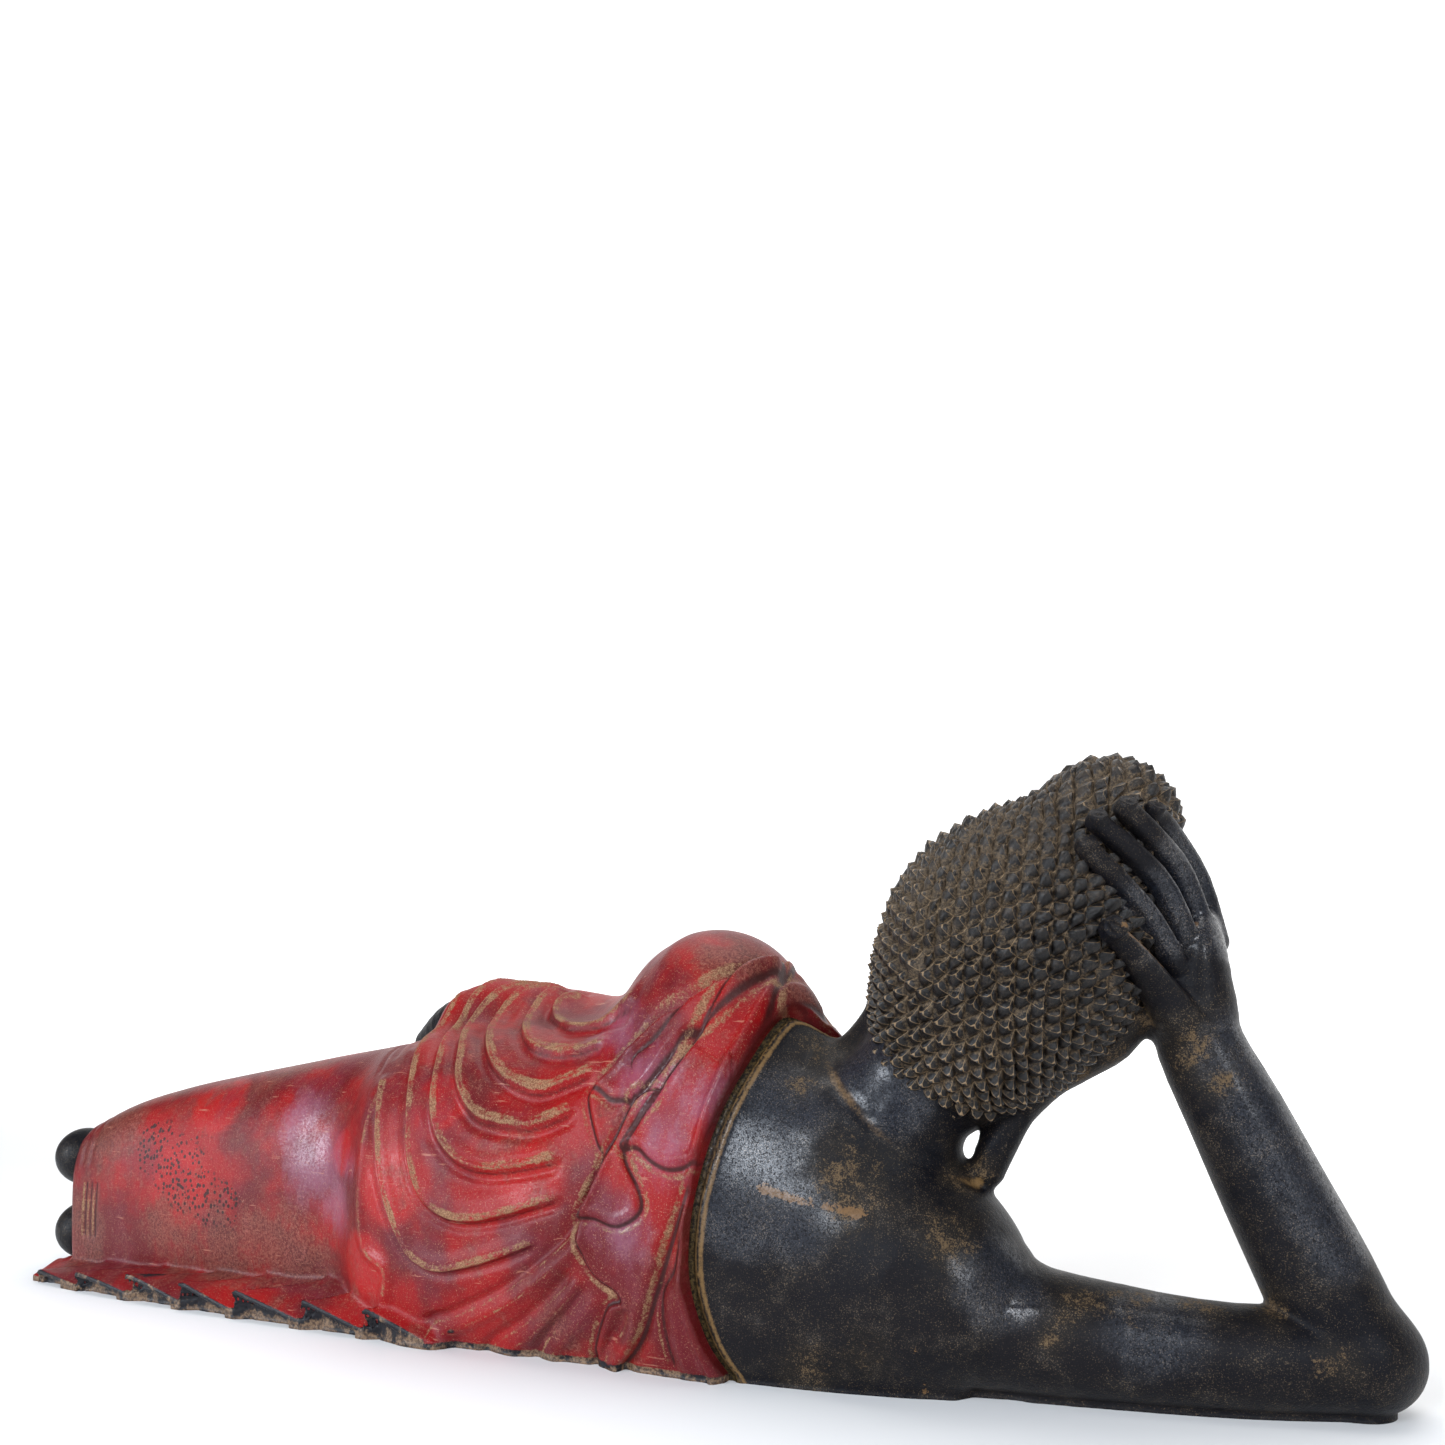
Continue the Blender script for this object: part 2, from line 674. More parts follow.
FAN_GROOVE = [(110, 16), (103, 1), (92, -9), (91, -26), (95, -42)]
EDGE_TOP = [(176, 92), (168, 86), (160, 80), (152, 73), (144, 66), (135, 58), (127, 49)]
EDGE_BOTTOM = [(122, 39), (113, 16), (112, -3), (118, -21), (125, -34), (132, -44)]


def draw_shawl():
    """Overlapping folded tongues of cloth, the lower layers first."""
    whole = SHAWL_LEFT + UNDER_EDGE + LOW_TONGUE + [(30, -50), (140, -50)]
    layer(whole + EDGE_BOTTOM[::-1] + EDGE_TOP[::-1], 3.0)
    layer(SHAWL_LEFT + SMALL_TONGUE + [(75, 57), (92, 65), (115, 69), (150, 84)], 1.6)
    layer(STRIP_LEFT[2:] + CURLED_TONGUE[::-1] + [(60, 39)] + STRIP_RIGHT[2:4][::-1], 2.4)
    right = [(146, 86), (152, 76), (144, 66), (135, 58), (127, 49)]
    layer(STRIP_RIGHT + LARGE_TONGUE + right[::-1], 2.6)
    for line in (STRIP_LEFT, STRIP_RIGHT):
        draw(line, 20, groove(3.0, 3.2), None, bell(0, 1.6))
    draw([(98, 71), (74, 65), (56, 61), (55, 58), (61, 55)], 16, groove(2.4, 2.6), None, bell(0, 1.2))
    draw(LONG_GROOVE, 20, groove(4.5, 5), bell(4.5, 3, 0.8), bell(0, 2.2))
    draw(FAN_GROOVE, 20, groove(3.5, 3.4), bell(4, 1.6, 0.6), bell(0, 1.6))
    draw([(x + 12, turn) for x, turn in FAN_GROOVE], 20, ridge(5, 2.4), bell(0, 1.2, 0.5))
    draw([(x - 11, turn) for x, turn in LONG_GROOVE[1:]], 20, ridge(5, 2.6), bell(0, 1.2, 0.4))
    draw(EDGE_TOP + EDGE_BOTTOM, 20, lambda s: 2.4 * np.exp(-((np.abs(s) - 4) / 4) ** 2))


def draw_front():
    """Plainer folds on the front: over the belly, along the legs and hanging from the left wrist."""
    for i in range(5):
        out = 24 * i
        draw([(16 - out, 124), (-30 - out, 134 + i), (-56 - out, 152 + 4 * i),
              (-20 - 0.5 * out, 174 + 7 * i), (50 + 4 * i, 180 + 8 * i)], 22, pleat(13),
             pleat_dust, bell(1.6, 0.9, 0.7))
    for i in range(4):
        start = 132 + 20 * i
        draw([(-225, start - 6), (-300, start), (-420, start + 4), (-520, start + 3),
              (-598, start)], 24, pleat(18, 0.7 * FOLD), bell(-1, 1.4, 0.7))
    for i in range(3):
        x = -176 - 14 * i
        draw([(x, 112), (x - 8, 150), (x - 2, 190), (x - 14, 226)], 18, groove(4, 3.4), None,
             bell(0, 1.5, 0.7))
        x = -612 + 13 * i
        draw([(x, 20), (x, 90), (x, 160), (x, 220)], 14, groove(3, 1.1), None, None, 30)


def draw_small_folds():
    """A fan of small folds by the left hand, and worn flutes near the hem."""
    for x, turn, to_x, to_turn in [(-231, 92, -206, 60), (-222, 92, -196, 66), (-212, 92, -184, 70)]:
        draw([(x, turn), ((x + to_x) / 2 - 4, (turn + to_turn) / 2), (to_x, to_turn)], 14,
             groove(3, 2.4), bell(2.5, 1, 0.6), bell(0, 1.2, 0.6))
    for i in range(3):
        x = -589 + 8 * i
        draw([(x, 16), (x - 2, -10), (x - 3, -36)], 10, groove(3.2, 1.8), bell(3.6, 1.8),
             bell(0, 1.7, 0.9), 10)


draw_hip_folds()
draw_shawl()
draw_front()
draw_small_folds()


def read_sheet(sheet, p):
    """The value on a sheet at each place."""
    u = (np.clip(p[:, 0], *SHEET_X) - SHEET_X[0]) / SHEET_CELL
    v = (np.clip(turn_of(p), *SHEET_TURN) - SHEET_TURN[0]) * GIRTH / SHEET_CELL
    i = np.clip(u.astype(int), 0, sheet.shape[0] - 2)
    j = np.clip(v.astype(int), 0, sheet.shape[1] - 2)
    s, t = np.clip(u - i, 0, 1), np.clip(v - j, 0, 1)
    low = between(sheet[i, j], sheet[i + 1, j], s)
    high = between(sheet[i, j + 1], sheet[i + 1, j + 1], s)
    return between(low, high, t)


def robe(p):
    """The body grown by the cloth and its folds, up to its edge, with the cloth on the ground."""
    p = on_ground(p)
    cloth = cut(trunk(p) - ROBE_THICKNESS / PART - read_sheet(RELIEF, p), past_edge(p), 1.2)
    cloth = blend(cloth, inside_box(p, *GROUND_CLOTH_BOX, ground_cloth), 5)
    return cut(cloth, -hollows_by_the_hip(p), 1.5)


def spots(at, places):
    """How near each point is to the nearest of some round places: 1 in the middle, 0 at the rim."""
    share = np.zeros(len(at))
    for x, y, z, reach in places:
        far = np.sqrt(((at - point(x, y, z)) ** 2).sum(1))
        share = np.maximum(share, 1 - far / reach)
    return share


HEM_WORN_UP_TO = 2.5        # below its rim the folded hem is worn to the wood, in parts
HEM_STEP = 5                # and so is the steep end of every fold, over this width
BLACK_SPECKS = [(-446, 35, 118, 52), (-490, 40, 140, 40), (-392, 31, 92, 34)]
RUBBED_BROWN = [(-590, 45, 60, 60), (-560, 50, 150, 70), (-400, 35, 60, 60), (-330, 30, 60, 60),
                (-270, 30, 62, 46), (-470, 38, 62, 50), (-520, 90, 180, 60), (-360, 90, 212, 50)]
BRIGHT_RED = [(-450, 35, 105, 60), (-420, 50, 185, 46), (-160, 0, 130, 46), (-190, 10, 60, 44),
              (-120, 20, 190, 44), (-30, 20, 150, 60), (-230, 30, 150, 30)]
WORN_CREST = [(127, 74, 316, 40), (160, 92, 290, 34), (110, 60, 318, 26)]
HAZED = [(-272, 27, 140, 58), (-300, 34, 172, 46), (-236, 24, 104, 46), (-216, 20, 140, 30),
         (72, 11, 224, 46), (130, 12, 206, 46), (91, -9, 174, 44), (30, 40, 262, 40), (60, 0, 110, 40)]

robe_piece = carve("robe", robe, (-690, -40, -12), (230, 260, 345))
at = in_layout(robe_piece)
hem_edge, _, _, hem_rim = hem(at[:, 0], at[:, 1])
hem_rim = np.maximum(hem_rim, hem(at[:, 0] + HEM_STEP, at[:, 1])[3])
worn = ease(hem_rim + 1, hem_rim - HEM_WORN_UP_TO, at[:, 2]) * ease(26, 12, at[:, 1] - hem_edge)
worn = np.maximum(worn * ease(-110, -150, at[:, 0]), ease(3, -2, hollows_by_the_hip(at)))
worn = np.maximum(worn, 0.6 * ease(9, 2, at[:, 2]) * ease(-220, -120, at[:, 0]))
rubbed = np.maximum(1.2 * spots(at, RUBBED_BROWN), 1.4 * spots(at, WORN_CREST))
mark(robe_piece, dust=read_sheet(DUST, at), dark=read_sheet(DARK, at), hem=1.6 * worn,
     low=ease(14, 3, at[:, 2]), edge=ease(-5, -1, past_edge(at)), specks=spots(at, BLACK_SPECKS),
     brown=rubbed, bright=1.5 * spots(at, BRIGHT_RED), haze=1.3 * spots(at, HAZED))


def red_lacquer():
    """Red lacquer over black, hazed and rubbed brown, with ochre dust along the crests."""
    material, f, shader = new_finish("red_lacquer")
    cloud, fleck, grain = f.noise(9, 4, 0.6), f.noise(420, 3, 0.7), f.noise(900, 2, 0.8)
    brush = f.noise(55, 5, 0.65, (1, 1, 0.4))
    skin = f.over(cloud.steps(0.40, 0.60), colour(136, 9, 12), colour(90, 12, 19))
    bright = (f.value("bright") + cloud * 0.9 - 0.2).steps(0.45, 0.85)
    skin = f.over(bright * 0.75, skin, colour(158, 8, 9))
    skin = f.over((f.noise(17, 4) + brush * 0.5).steps(0.72, 0.92) * 0.45, skin, colour(100, 34, 46))
    brown = (f.value("brown") * 0.35 + f.noise(24, 5, 0.7) + brush * 0.6 + fleck * 0.2).steps(0.88, 1.22)
    browns = f.over(fleck.steps(0.4, 0.62), colour(70, 32, 26), colour(116, 68, 56))
    skin = f.over(brown * 0.7, skin, browns)
    skin = f.over((brush * 0.5 + fleck * 0.5).steps(0.56, 0.66) * 0.3, skin, colour(150, 74, 66))
    haze = (f.value("haze") * 0.6 + brush * 0.9 + fleck * 0.3 + cloud * 0.3 - 0.5).steps(0.35, 1.05)
    skin = f.over(haze * 0.55, skin, colour(138, 84, 108))
    skin = f.over(grain.steps(0.60, 0.68) * 0.5, skin, colour(184, 132, 106))
    scrapes = f.noise(330, 2, 0.6, (0.07, 0.6, 1)).steps(0.66, 0.71) * f.noise(30, 3).steps(0.45, 0.6)
    skin = f.over(scrapes * 0.6, skin, colour(170, 112, 92))
    where = (f.value("specks") + f.noise(50, 3) * 0.9 - 0.5).steps(0.1, 0.3)
    skin = f.over(f.cells(200).steps(0.42, 0.32) * where * 0.9, skin, colour(26, 12, 12))
    dusty = f.value("dust") + (fleck - 0.5) * 1.5 + (f.noise(38, 4, 0.7) - 0.5) * 2.2
    dusty = (dusty * f.value("dust").steps(0.05, 0.5)).steps(0.40, 0.95)
    skin = f.over(f.value("dark").steps(0.25, 0.85) * 0.9, skin, colour(44, 11, 10))
    ochres = f.over(grain.steps(0.35, 0.65), colour(98, 66, 44), colour(158, 124, 92))
    skin = f.over(dusty * 0.85, skin, ochres)
    skin = f.over(f.value("edge") * 0.5, skin, colour(84, 16, 17))
    bare = (f.noise(70, 5, 0.7) + f.value("low") * 0.14 - 0.06).steps(0.48, 0.60)
    woods = f.over(fleck.steps(0.4, 0.6), colour(72, 56, 46), colour(122, 98, 76))
    bare = f.over(bare, colour(20, 20, 25), woods)
    skin = f.over((f.value("hem") + fleck * 0.5 - 0.25).steps(0.35, 0.6), skin, bare)
    feed(shader, {
        "Base Color": skin,
        "Roughness": dusty * 0.3 + brush * 0.2 + 0.30,
        "Coat Weight": (haze + bright * 0.3) * (1.0 - brown) * fleck.steps(0.35, 0.6) * 0.7,
        "Coat Roughness": 0.22,
        "Specular IOR Level": 0.22,
        "Normal": uneven(f.noise(260, 4, 0.6) * 0.7 + grain * 0.3 + cloud + brush * 0.6, 0.5),
    })
    return material


robe_piece.data.materials.append(red_lacquer())
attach(robe_piece, "root")
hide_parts("reclining_figure")

# The bare body
# The head and face, neck, right shoulder and arm, both hands and the soles are left bare of the robe.
# They are cut from the same block and lacquered blue-black; handling has polished them, and pale dust
# has settled in the creases and along worn edges.
FINGER_RADIUS = 0.0078


def neck(p):
    return limb(p, [(222, 90, 168, 60), (253, 92, 215, 53), (297, 98, 264, 60)])


HEAD = point(325, 100, 310)
TILT = math.radians(57.3)
UP = point(math.cos(TILT), 0, math.sin(TILT))
LEFT = point(-math.sin(TILT), 0, math.cos(TILT))
FRONT = point(0, 1, 0)
HEAD_AXES = np.array([LEFT, FRONT, UP])


def on_head(left, front, up):
    return HEAD + left * LEFT + front * FRONT + up * UP


def head_coords(p):
    return (p - HEAD) @ HEAD_AXES.T


def head_limb(p, points, steps=3, squash=1.0):
    """A limb laid out on the head; squash above 1 makes it deeper from front to back."""
    q = head_coords(p) * point(1, 1 / squash, 1)
    return limb(q, [(left, front / squash, up, r) for left, front, up, r in points], steps)


def right_arm(p):
    """Upper arm along the ground, then the forearm up to the head, with a sharp fold at the elbow."""
    upper = limb(p, [(255, 88, 85, 75), (322, 88, 50, 51), (400, 98, 40, 42),
                     (480, 112, 36, 37), (554, 133, 39, 37)])
    fore = limb(p, [(552, 138, 42, 39), (529, 132, 96, 38), (504, 124, 150, 35.5),
                    (479, 114, 205, 32.5), (457, 104, 252, 29), (452, 100, 280, 28)])
    elbow = ball(p, (564, 141, 37), (33, 33, 34))
    return blend(upper, blend(fore, elbow, 18), 5)


FINGER = FINGER_RADIUS / PART
RIGHT_FINGERS = [
    [(447, 85, 297), (427, 60, 339), (409, 36, 364), (391, 20, 385)],
    [(455, 93, 305), (436, 70, 358), (417, 44, 383), (397, 26, 402)],
    [(461, 106, 318), (445, 88, 370), (429, 56, 394), (414, 36, 411)],
    [(465, 120, 325), (454, 108, 368), (439, 82, 397), (429, 62, 411)],
]
RIGHT_THUMB = [(446, 84, 268, 20), (432, 66, 292, 15.5), (419, 38, 314, 11.5), (407, 18, 330, 9)]


def blade(p, points, rise=1.25):
    """A finger with a sharp ridge along its back: two round limbs, side by side, keep what they share."""
    line = np.asarray(points, float)
    way = line[-1, :3] - line[0, :3]
    out = line[:, :3].mean(0) - HEAD
    side = np.cross(way / np.linalg.norm(way), out / np.linalg.norm(out))
    r = line[:, 3:]
    shift = 0.42 * r * side
    one = np.hstack([line[:, :3] + shift, r * rise])
    other = np.hstack([line[:, :3] - shift, r * rise])
    return cut(limb(p, one), limb(p, other), 1.2)


def nail(p, tip, before, radius):
    """A round flat nail at a finger's end, with a raised rim."""
    way = point(*tip) - point(*before)
    out = point(*tip) - HEAD
    facing = out / np.linalg.norm(out) + 0.35 * way / np.linalg.norm(way)
    facing /= np.linalg.norm(facing)
    q = p - point(*tip) - 0.35 * radius * facing
    up = q @ facing
    across = np.sqrt(np.maximum((q * q).sum(1) - up * up, 0))
    disc = cut(across - radius, np.abs(up) - 0.8 * radius, 2.0)
    hollow = np.hypot(across / (0.74 * radius), (up - 0.95 * radius) / (0.42 * radius)) - 1
    return cut(disc, -hollow * 0.42 * radius, 0.8)


def right_hand(p):
    palm = limb(p, [(452, 100, 276, 28), (452, 98, 300, 24), (448, 108, 330, 17)])
    palm = blend(palm, ball(p, (458, 112, 312), (14, 34, 38)), 12)
    hand = blend(palm, blade(p, RIGHT_THUMB, 1.12), 5)
    hand = blend(hand, nail(p, RIGHT_THUMB[-1][:3], RIGHT_THUMB[-2][:3], 8.2), 1.0)
    for finger in RIGHT_FINGERS:
        sizes = np.linspace(FINGER * 1.15, FINGER * 0.9, len(finger))
        hand = blend(hand, blade(p, [(*at, r) for at, r in zip(finger, sizes)]), 2.0)
        hand = blend(hand, nail(p, finger[-1], finger[-2], 6.6), 1.0)
    return hand


def left_hand(p):
    """Laid flat on the thigh, at the end of the arm that lies along the body."""
    hand = limb(p, [(-180, 132, 264, 26), (-206, 137, 258, 22), (-242, 152, 241, 17)])
    for finger in range(4):
        out = 9 * (finger - 1.5)
        root = (-234, 166 + 1.1 * out, 229 - 0.86 * out, 8.5)
        middle = (-276, 178 + out, 210 - 1.28 * out, 8)
        tip = (-318, 172 + 0.95 * out, 209 - out, 7)
        hand = blend(hand, limb(p, [root, middle, tip]), 2.5)
    return hand


def foot(p, height, tilt):
    """A sole that faces along the body, toes to the front."""
    turned = 1 if tilt > 0 else -1
    heel = ball(p, (-630, 74, height), (30, 26, 27))
    sole = limb(p, [(-632, 78, height, 24), (-630, 120, height, 21), (-634, 160, height, 24)])
    form = blend(heel, sole, 16)
    for toe in range(5):
        z = height + turned * (22 - 11 * toe)
        form = blend(form, limb(p, [(-642, 158, z, 7.5), (-644, 186, z, 7), (-646, 212 - toe, z, 6.2)]), 2)
    return form


HAIRLINE, CHIN = 54, -132
THIRD = (HAIRLINE - CHIN) / 3
BROW = HAIRLINE - THIRD
NOSE = BROW - THIRD
EYES = BROW - 17
MOUTH = NOSE - 20


def skull(p):
    q = head_coords(p)
    q[:, 0] *= 1 + 0.0016 * np.clip(30 - q[:, 2], 0, 110)
    egg = ball(q, (0, 0, 0), (98, 106, 121))
    return blend(egg, ball(q, (-6, -4, 117), (47, 48, 48)), 26)


def face(p):
    """Calm, full face with half-closed eyes."""
    form = ball(p, on_head(0, 26, -34), (76, 92, 97), HEAD_AXES)
    form = blend(form, ball(p, on_head(0, 64, -96), (40, 42, 36), HEAD_AXES), 28)
    nose = [(0, 110, BROW - 2, 5), (0, 118, BROW - 30, 6.5), (0, 126, NOSE + 4, 7.5)]
    form = blend(form, head_limb(p, nose), 8)
    for side in (-1, 1):
        form = blend(form, ball(p, on_head(side * 9, 118, NOSE + 1), 6.5), 4)
        brow = [(side * 7, 114, BROW - 2, 3), (side * 31, 108, BROW + 9, 3.5),
                (side * 60, 82, BROW - 3, 2.5)]
        form = blend(form, head_limb(p, brow), 6)
        form = blend(form, ball(p, on_head(side * 31, 97, EYES), (18, 14, 11), HEAD_AXES), 4)
        slit = head_limb(p, [(side * 15, 110, EYES - 4, 1.6), (side * 31, 113, EYES - 7, 1.8),
                             (side * 48, 98, EYES - 3, 1.6)])
        form = cut(form, -slit, 2)
    upper = [(-21, 107, MOUTH + 1, 2.5), (-8, 115, MOUTH + 4, 4.5), (0, 115, MOUTH + 3, 4),
             (8, 115, MOUTH + 4, 4.5), (21, 107, MOUTH + 1, 2.5)]
    lower = [(-17, 107, MOUTH - 5, 3), (0, 112, MOUTH - 7, 5.5), (17, 107, MOUTH - 5, 3)]
    form = blend(form, head_limb(p, upper), 2.5)
    form = blend(form, head_limb(p, lower), 2.5)
    return blend(form, ball(p, on_head(0, 96, CHIN + 14), 15), 12)


def ear(p, side):
    """Long ear with a hanging lobe, standing off the head."""
    broad = 12.5 if side < 0 else 9
    back = [(side * 96, 0, 20, broad), (side * 95, 0, -6, broad), (side * 84, 2, -30, broad - 0.5),
            (side * 73, 3, -58, 9), (side * 67, 3, -78, 9)]
    lobe = [(side * 73, 3, -58, 8), (side * 65, 3, -88, 11.5), (side * 65, 2, -116, 14),
            (side * 70, 0, -136, 12)]
    form = blend(head_limb(p, back, 3, 2.0), head_limb(p, lobe, 3, 1.25), 4)
    bowl = head_limb(p, [(side * 109, 5, 10, 5), (side * 105, 7, -12, 5.5), (side * 91, 9, -38, 4)], 3, 1.7)
    return cut(form, -bowl, 3)


NECK_CREASE = [(188, 78, 254, 0), (205, 51, 228, 0), (227, 35, 208, 0), (243, 31, 193, 0),
               (266, 36, 175, 0), (292, 56, 163, 0), (306, 84, 150, 0)]
THROAT_CREASES = [[(222, 150, 214, 0), (258, 158, 190, 0), (292, 148, 162, 0)],
                  [(236, 152, 232, 0), (272, 160, 208, 0), (306, 148, 182, 0)]]


def creases(p):
    """Depth of the creases at the foot of the neck and on the throat."""
    depth = 3.5 * np.exp(-(limb(p, NECK_CREASE) / 5) ** 2)
    for crease in THROAT_CREASES:
        depth += 2 * np.exp(-(limb(p, crease) / 4) ** 2)
    return depth


def head(p):
    bare = blend(skull(p), face(p), 14)
    return np.minimum(bare, np.minimum(ear(p, 1), ear(p, -1)))


def feet(p):
    return np.minimum(foot(p, 119, -1), foot(p, 42, 1))


EDGE_GROOVE = 3.2           # depth of the groove between the robe's edge and the skin
UNDER_ROBE = 30             # how far the bare body runs on under the robe


def bare_body(p):
    """The skin as far as it shows, and a little way on under the robe."""
    p = on_ground(p)
    past = past_edge(p)
    form = blend(trunk(p), inside_box(p, (160, 30, 100), (370, 165, 330), neck, 28), 26)
    form = blend(form, inside_box(p, (175, 10, -20), (602, 178, 310), right_arm, 32), 30)
    form = form + EDGE_GROOVE * (1 - ease(4.0, 8.0, past)) - 0.9 * np.exp(-((past - 11) / 2.2) ** 2)
    near = ((p > point(170, 20, 130)) & (p < point(330, 180, 280))).all(1)
    form[near] += creases(p[near])
    form = blend(form, inside_box(p, (190, -16, 140), (500, 225, 490), head), 12)
    form = blend(form, inside_box(p, (370, -4, 240), (495, 170, 440), right_hand), 4)
    form = cut(form, -(past + UNDER_ROBE), 3)
    form = np.minimum(form, inside_box(p, (-334, 100, 165), (-150, 208, 296), left_hand))
    return np.minimum(form, inside_box(p, (-672, 44, 8), (-600, 222, 152), feet))


body_piece = carve("bare_body", bare_body, (-690, -30, -12), (640, 260, 480))
at = in_layout(body_piece)
past = past_edge(at)
by_the_robe = ease(-110, -60, at[:, 0])
SCRATCH = [(166, 7, 148, 0), (190, 9, 142, 0), (206, 11, 138, 0), (222, 13, 137, 0), (240, 16, 133, 0)]
DRIP = [(276, 17, 42, 0), (277, 24, 24, 0), (278, 40, 6, 0)]
BARE_STRIPS = [[(459, 92, 322, 0), (452, 84, 340, 0), (446, 76, 352, 0)],
               [(416, 16, 333, 0), (430, 42, 313, 0), (444, 66, 292, 0)]]
DUSTY_PLACES = [
    (190, 70, 252, 34), (186, 42, 222, 26), (369, 53, 64, 20), (363, 48, 50, 14), (381, 67, 78, 30),
    (415, 84, 78, 34), (455, 100, 76, 34), (500, 112, 70, 34), (540, 98, 44, 24), (296, 66, 156, 22),
    (196, 16, 14, 36), (240, 10, 30, 30), (226, 24, 150, 52), (300, 30, 120, 40), (452, 76, 252, 34),
    (470, 84, 232, 26), (418, 80, 274, 26), (400, 80, 254, 28), (376, 84, 236, 26), (306, 84, 160, 22),
]
POLISHED = [
    (152, 4, 130, 46), (156, 6, 170, 54), (176, 30, 205, 42), (190, 8, 130, 40), (236, 44, 232, 44),
    (256, 42, 214, 38), (482, 84, 250, 36), (496, 88, 224, 38), (508, 92, 198, 38), (520, 96, 172, 38),
    (532, 100, 146, 36), (544, 104, 122, 32), (428, 58, 342, 46), (446, 88, 372, 50), (462, 100, 330, 34),
    (430, 60, 68, 50), (330, 44, 90, 44),
]
scars = [1 - limb(at, SCRATCH) / 5, 1 - limb(at, DRIP) / 3.5]
scars += [1 - limb(at, strip) / 4 for strip in BARE_STRIPS]
mark(body_piece, groove=ease(9.0, 7.5, past) * by_the_robe,
     lip=(bell(11.5, 2.4)(past) + bell(7, 1.0)(past)) * by_the_robe, crease=0.4 * creases(at),
     scar=np.max(scars, axis=0), dusty=1.3 * spots(at, DUSTY_PLACES), polish=2.0 * spots(at, POLISHED))


def black_lacquer():
    """Blue-black lacquer, polished by handling, with pale dust in its pores and rubbed places."""
    material, f, shader = new_finish("black_lacquer")
    cloud, grain, pores = f.noise(8, 4, 0.6), f.noise(430, 3, 0.75), f.noise(1000, 2, 0.8)
    wiped = f.noise(34, 5, 0.7)
    skin = f.over(cloud.steps(0.38, 0.66), colour(10, 11, 17), colour(22, 21, 24))
    film = (wiped + f.value("dusty") * 0.3 + pores * 0.45 - 0.2).steps(0.44, 0.80)
    skin = f.over(film * 0.26, skin, colour(50, 44, 34))
    tan = f.value("dusty") * 0.2 + f.noise(60, 5, 0.8) * 0.7 + grain * 0.4 + pores * 0.45
    tan = tan.steps(0.94, 1.10)
    skin = f.over(tan * 0.75, skin, colour(108, 88, 64))
    skin = f.over((pores + wiped * 0.3).steps(0.74, 0.84) * 0.5, skin, colour(120, 102, 80))
    olives = f.over(grain.steps(0.42, 0.6), colour(26, 22, 16), colour(74, 60, 36))
    skin = f.over(f.value("groove"), skin, olives)
    line = (f.value("lip").most(f.value("crease")) * (grain * 0.9 + wiped * 0.7 - 0.1)).steps(0.28, 0.7)
    skin = f.over(line * 0.75, skin, colour(124, 96, 60))
    scar = (f.value("scar") + (grain - 0.5) * 1.6 + (wiped - 0.5) * 2.6).steps(0.45, 0.6)
    woods = f.over(grain, colour(60, 42, 26), colour(126, 96, 64))
    skin = f.over(scar * f.value("scar").steps(0.02, 0.2), skin, woods)
    polish = (f.value("polish") * 0.6 + wiped * 1.3 + cloud * 0.3 - 0.82).steps(0.0, 0.7)
    polish = polish * (grain * 0.6 + pores * 0.9).steps(0.60, 0.86) * (1.0 - tan)
    skin = f.over(polish * 0.10, skin, colour(92, 106, 130))
    feed(shader, {
        "Base Color": skin,
        "Roughness": tan * 0.2 + line * 0.2 + film * 0.1 + 0.40,
        "Coat Weight": polish,
        "Coat Roughness": 0.26,
        "Specular IOR Level": 0.11,
        "Normal": uneven(f.noise(150, 4, 0.6) + grain * 0.5 + pores * 0.2, 0.55),
    })
    return material


body_piece.data.materials.append(black_lacquer())
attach(body_piece, "root")
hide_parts("reclining_figure")

# The curls
# The hair is a cap of curls in even rows, each cut as a small bead that swells and comes to a point.
# They are the same black lacquer, dull with dust in the valleys and rubbed pale along the ridges.
CURL_PITCH = 0.0125
CURL_HEIGHT = 0.008
ROW_PITCH = 0.866           # from row to row, as a share of the pitch, so that the curls nest

HAIR_EDGE = [(-120, -122), (-64, -114), (-40, -106), (-20, -92), (0, -66), (12, -20), (24, 6),
             (50, 30), (80, 46), (100, HAIRLINE), (120, HAIRLINE + 6)]


def has_hair(q):
    """Where the hair is, for places in head coordinates."""
    return q[:, 2] > curve_at(HAIR_EDGE, q[:, 1])[0]


def skull_radius(ways):
    """Distance from the middle of the skull to its surface along each way, found in short steps."""
    reach = np.full(len(ways), 100.0)
    for _ in range(30):
        reach = reach - 0.8 * skull(HEAD + (ways * reach[:, None]) @ HEAD_AXES)
    return reach


def skull_normal(places):
    """The way straight out of the skull at places on it, in head coordinates."""
    steps = [0.5 * axis for axis in np.eye(3)]
    out = np.stack([skull(HEAD + (places + step) @ HEAD_AXES) - skull(HEAD + (places - step) @ HEAD_AXES)
                    for step in steps], -1)
    return out / np.linalg.norm(out, axis=1)[:, None]


def hull_triangles(ways):
    hull = bmesh.new()
    for way in ways:
        hull.verts.new(way)
    hull.verts.index_update()
    bmesh.ops.convex_hull(hull, input=hull.verts)
    triangles = [[v.index for v in f.verts] for f in hull.faces]
    hull.free()
    return triangles


def length_along(line):
    return np.concatenate([[0], np.cumsum(np.linalg.norm(np.diff(line, axis=0), axis=1))])


